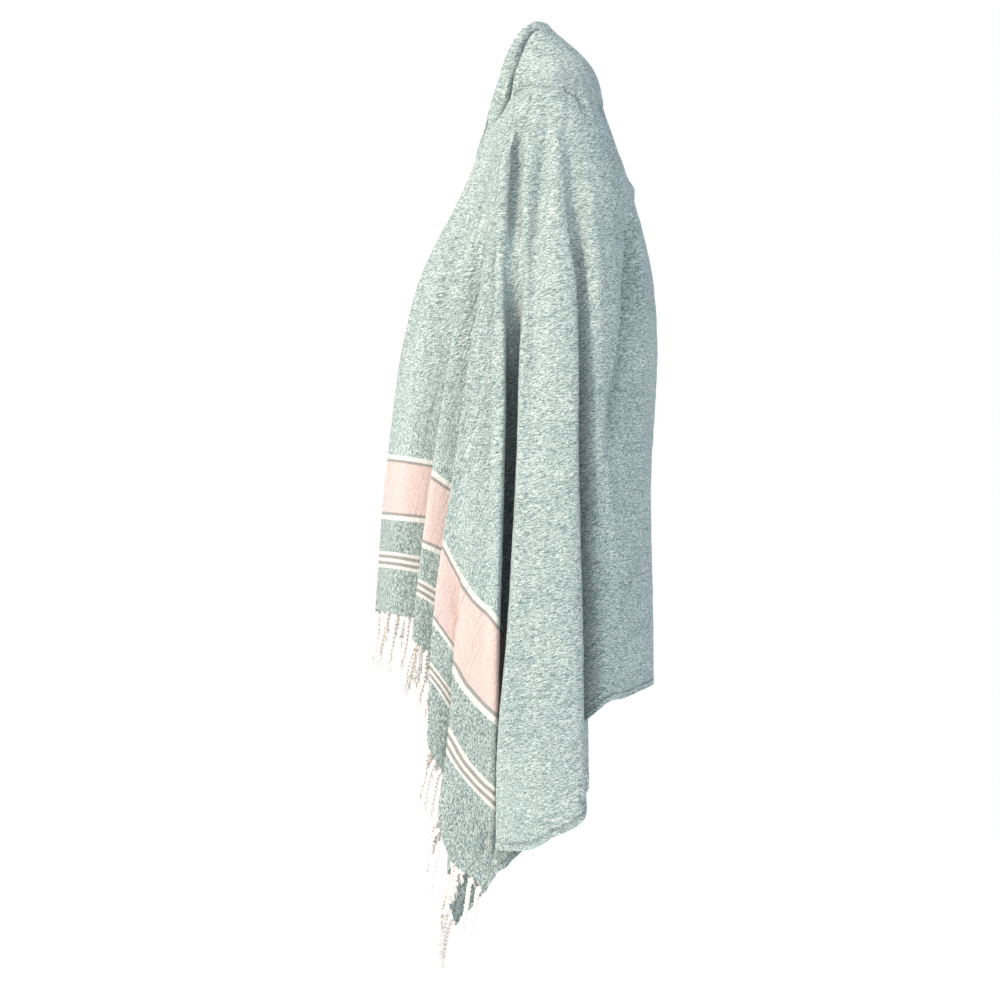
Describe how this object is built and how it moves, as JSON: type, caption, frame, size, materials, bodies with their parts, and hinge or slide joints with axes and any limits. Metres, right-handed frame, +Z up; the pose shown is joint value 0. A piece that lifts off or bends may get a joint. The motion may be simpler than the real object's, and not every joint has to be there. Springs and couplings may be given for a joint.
{
  "type": "turkish towel",
  "caption": "Flat woven cotton towel worn over the shoulders as a shawl, hanging in pleats open at the front, with striped ends and knotted fringes.",
  "frame": {"origin": "between the wearer's shoulders at the height of the shoulder line, where the cloth is held up", "axes": "+Z up, -X the way the wearer faces, -Y towards the wearer's left"},
  "size_m": [0.3629, 0.5109, 1.2559],
  "materials": {
    "cloth": "matt woven cotton with a dry crepe surface",
    "fringe": "matt twisted cotton cords"
  },
  "bodies": {
    "root": {"back": "cloth", "near_side": "cloth", "near_front": "cloth", "far_side": "cloth", "far_front": "cloth", "near_fringe": "fringe", "far_fringe": "fringe"}
  },
  "joints": []
}
